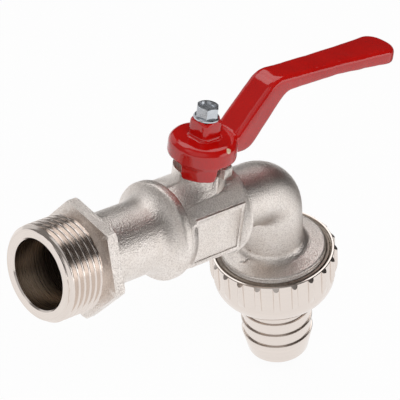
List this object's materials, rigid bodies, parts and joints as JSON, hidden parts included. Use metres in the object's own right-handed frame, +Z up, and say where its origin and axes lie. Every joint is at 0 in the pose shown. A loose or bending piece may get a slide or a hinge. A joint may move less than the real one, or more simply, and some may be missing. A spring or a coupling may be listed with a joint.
{
  "type": "lever bib tap",
  "caption": "Lever bib tap with a ball inside, male threaded inlet with hexagon, bent spout, ribbed union nut and barbed hose tail.",
  "frame": {"origin": "centre of the male inlet thread where it meets the hexagon's front face", "axes": "+X along the inlet axis into the tap, +Z up the stem towards the lever, Y across"},
  "size_m": [0.1581, 0.0464, 0.1236],
  "materials": {
    "nickel_cast": "blasted nickel plate",
    "nickel_turned": "bright nickel plate",
    "red_enamel": "gloss red enamel on cast aluminium",
    "zinc_steel": "bright zinc plate",
    "chrome_ball": "polished",
    "plain_brass": "turned brass",
    "white_plastic": "white slip plastic",
    "black_rubber": "matt"
  },
  "bodies": {
    "tap_body": {"body": "nickel_cast", "inlet_adapter": "nickel_turned", "adapter_o_ring": "black_rubber", "inlet_seat": "white_plastic", "outlet_seat": "white_plastic", "thrust_washer": "white_plastic", "stem_packing": "white_plastic", "gland_nut": "plain_brass"},
    "lever_set": {"lever": "red_enamel", "lever_screw": "zinc_steel", "stem": "plain_brass", "ball": "chrome_ball", "stem_o_ring": "black_rubber"},
    "hose_end": {"hose_tail": "nickel_turned", "union_gasket": "black_rubber"},
    "nut": {"union_nut": "nickel_turned"}
  },
  "joints": [
    {"name": "lever_turn", "type": "hinge", "parent": "tap_body", "child": "lever_set", "pos_m": [0.0528, 0, 0], "axis": [0, 0, 1], "range_deg": [-90, 0]},
    {"name": "tail_slide", "type": "slide", "parent": "tap_body", "child": "hose_end", "axis": [0.2453, 0, -0.9694], "range_m": [0, 0.00923]},
    {"name": "nut_turn", "type": "hinge", "parent": "hose_end", "child": "nut", "pos_m": [0.09, 0, 0], "axis": [0.2453, 0, -0.9694], "range_deg": [0, 1440]}
  ],
  "couplings": [
    {"joint": "nut_turn", "follows": "tail_slide", "rad_per_m": 2721.2}
  ]
}
